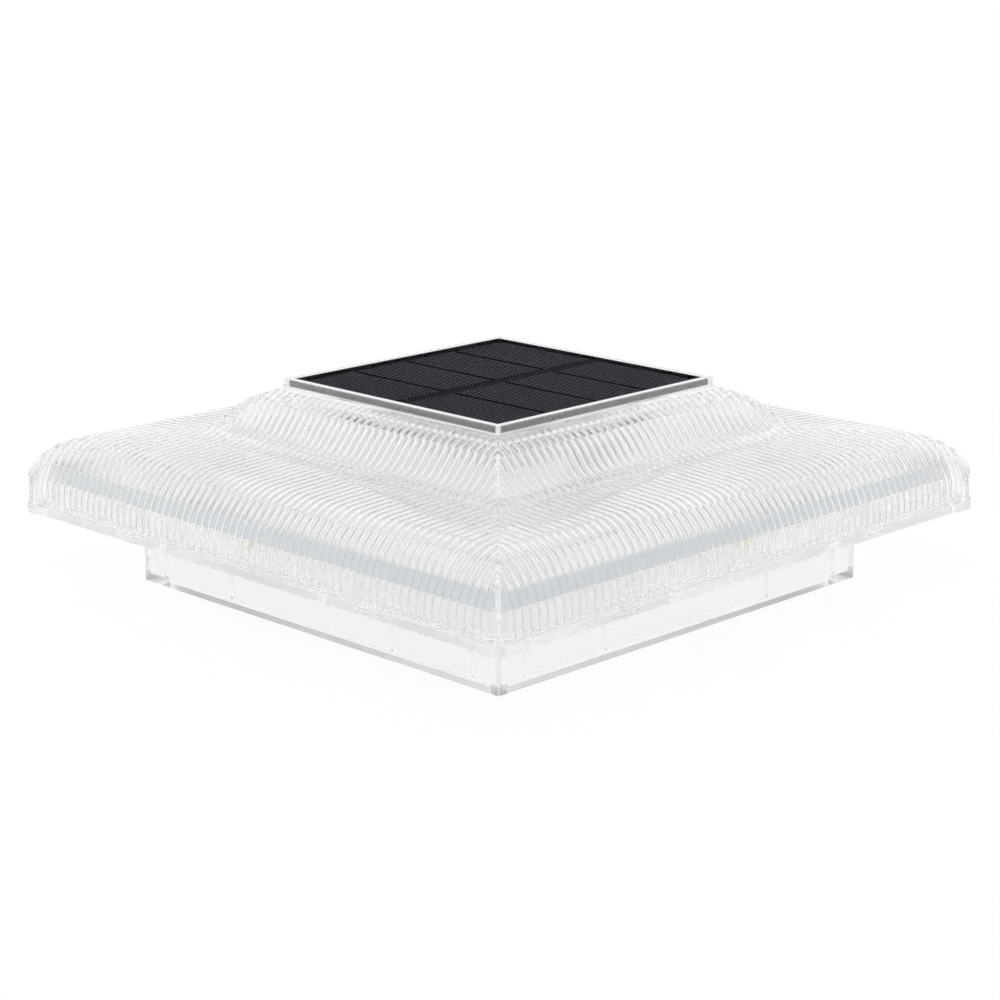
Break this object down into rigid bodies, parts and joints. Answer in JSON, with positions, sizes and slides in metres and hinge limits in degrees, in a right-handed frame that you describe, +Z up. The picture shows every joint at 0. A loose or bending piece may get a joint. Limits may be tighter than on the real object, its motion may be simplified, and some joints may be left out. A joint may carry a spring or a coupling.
{
  "type": "solar post cap light",
  "caption": "Low square solar light with a clear fluted dome cover, a solar panel on top and a clear collar below that slips over a square railing post.",
  "frame": {"origin": "middle of the collar's bottom edge, in the plane that the light stands on", "axes": "+Z up out of the solar panel; the four sides lie square to X and Y; the battery lies along X on the -Y half"},
  "size_m": [0.152, 0.152, 0.0467],
  "materials": {
    "clear_cover": "clear, polished, finely fluted",
    "clear_base": "clear, polished",
    "diffuser": "milky blue-grey",
    "silicone_white": "soft matt",
    "silver_frame": "fine satin, bright edge",
    "panel_black": "black lacquer",
    "cell_dark": "dark silicon with fine grey fingers",
    "panel_glass": "clear sheet",
    "foam_white": "closed-cell foam",
    "foam_pale": "soft foam",
    "box_white": "moulded",
    "battery_wrap": "pale shrink wrap",
    "contact_nickel": "nickel plate",
    "lead_white": "insulation",
    "part_black": "moulded",
    "coil_pale": "winding in a pale sleeve",
    "cap_pale": "pale sleeve, bare metal end",
    "board_white": "white solder mask",
    "led_white": "moulded",
    "led_yellow": "phosphor gel",
    "switch_grey": "moulded",
    "screw_steel": "zinc plate"
  },
  "bodies": {
    "light_body": {"post_collar": "clear_base", "base_tray": "clear_base", "cover_seal": "silicone_white", "diffuser_ring": "diffuser", "cover": "clear_cover", "panel_tape": "foam_white", "panel_frame": "silver_frame", "panel_backing": "panel_black", "solar_cells": "cell_dark", "panel_glass": "panel_glass", "panel_leads": "lead_white", "lead_plug": "silicone_white", "battery_box": "box_white", "battery_cell": "battery_wrap", "negative_contact": "contact_nickel", "positive_contact": "contact_nickel", "battery_leads": "lead_white", "circuit_board": "board_white", "board_screws": "screw_steel", "controller_chip": "part_black", "charge_coil": "coil_pale", "board_capacitors": "cap_pale", "board_resistors": "part_black", "led_boards": "board_white", "led_packages": "led_white", "led_phosphors": "led_yellow", "led_wires": "lead_white", "switch_body": "switch_grey"},
    "switch": {"switch_slider": "part_black"},
    "lid": {"battery_lid": "clear_base", "lid_seal": "foam_pale", "lid_screws": "screw_steel"}
  },
  "joints": [
    {"name": "switch_slide", "type": "slide", "parent": "light_body", "child": "switch", "axis": [1, 0, 0], "range_m": [0, 0.0025]},
    {"name": "lid_lift_off", "type": "slide", "parent": "light_body", "child": "lid", "axis": [0, 0, -1], "range_m": [0, 0.014]}
  ]
}
